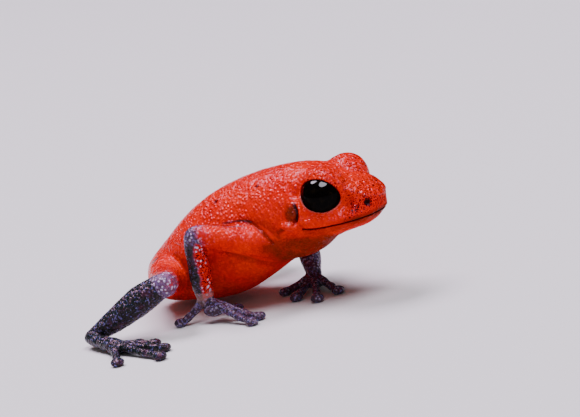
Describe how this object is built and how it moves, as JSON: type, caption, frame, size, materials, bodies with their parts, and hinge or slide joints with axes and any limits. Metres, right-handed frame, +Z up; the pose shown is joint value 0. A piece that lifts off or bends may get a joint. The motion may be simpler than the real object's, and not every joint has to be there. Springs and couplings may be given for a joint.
{
  "type": "strawberry poison dart frog",
  "caption": "Life-size still model of a small red frog with dark blue limbs, sitting with its chest raised on slender arms, hind feet spread.",
  "frame": {"origin": "middle of the model's box, at the level of the floor under its fingers and toes", "axes": "+X ahead, the way the snout points; +Y to the frog's left; +Z up"},
  "size_m": [0.0206, 0.0298, 0.0094],
  "materials": {
    "red_skin": "wet, finely granular",
    "blue_skin": "wet, speckled",
    "eye": "clear gloss"
  },
  "bodies": {
    "root": {"torso": "red_skin", "head": "red_skin", "lower_jaw": "red_skin", "eye_right": "eye", "eye_left": "eye", "upper_arm_right": "red_skin", "forearm_right": "blue_skin", "hand_right": "blue_skin", "upper_arm_left": "red_skin", "forearm_left": "blue_skin", "hand_left": "blue_skin", "thigh_right": "red_skin", "shank_right": "blue_skin", "foot_right": "blue_skin", "thigh_left": "red_skin", "shank_left": "blue_skin", "foot_left": "blue_skin"}
  },
  "joints": []
}
